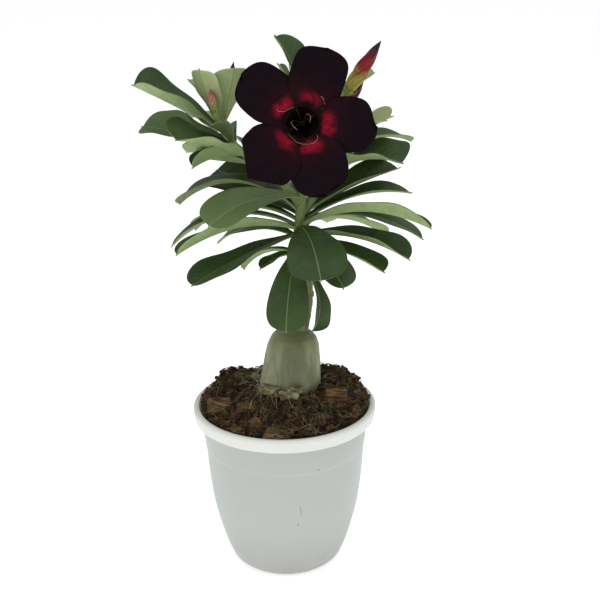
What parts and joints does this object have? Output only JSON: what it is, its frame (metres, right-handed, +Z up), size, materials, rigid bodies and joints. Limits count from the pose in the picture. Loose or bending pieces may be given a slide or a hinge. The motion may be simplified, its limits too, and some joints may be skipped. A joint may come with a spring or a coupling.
{
  "type": "potted desert rose adenium",
  "caption": "Grafted desert rose in a plain white nursery pot: swollen caudex, forking leafy shoots, one open dark maroon flower and closed buds.",
  "frame": {"origin": "middle of the pot's flat underside, on the surface that the pot stands on", "axes": "+Z up along the pot's axis, -Y toward the front, where the flower faces, +X to the right seen from the front"},
  "size_m": [0.1748, 0.127, 0.3486],
  "materials": {
    "pot_plastic": "satin moulded white polypropylene",
    "coir_mix": "damp coir fibre and husk chips, rough",
    "caudex_bark": "smooth grey-green succulent bark, matt",
    "young_bark": "young green-brown bark with leaf scars",
    "leaf_green": "leathery dark green leaf, satin above and dull below",
    "petal_maroon": "velvety near-black maroon petal, red round the throat",
    "anther_pink": "downy pinkish anther tails",
    "bud_red": "satin red bud, yellow-green toward its foot",
    "bud_pink": "satin pink young bud"
  },
  "bodies": {
    "root": {"pot": "pot_plastic", "potting_mix": "coir_mix", "caudex": "caudex_bark", "scion_trunk": "young_bark", "shoot_centre": "leaf_green", "shoot_left": "leaf_green", "shoot_right": "leaf_green", "corolla": "petal_maroon", "anther_cone": "anther_pink", "bud_large": "bud_red", "bud_small": "bud_red", "bud_left_front": "bud_pink", "bud_left_back": "bud_pink"}
  },
  "joints": []
}
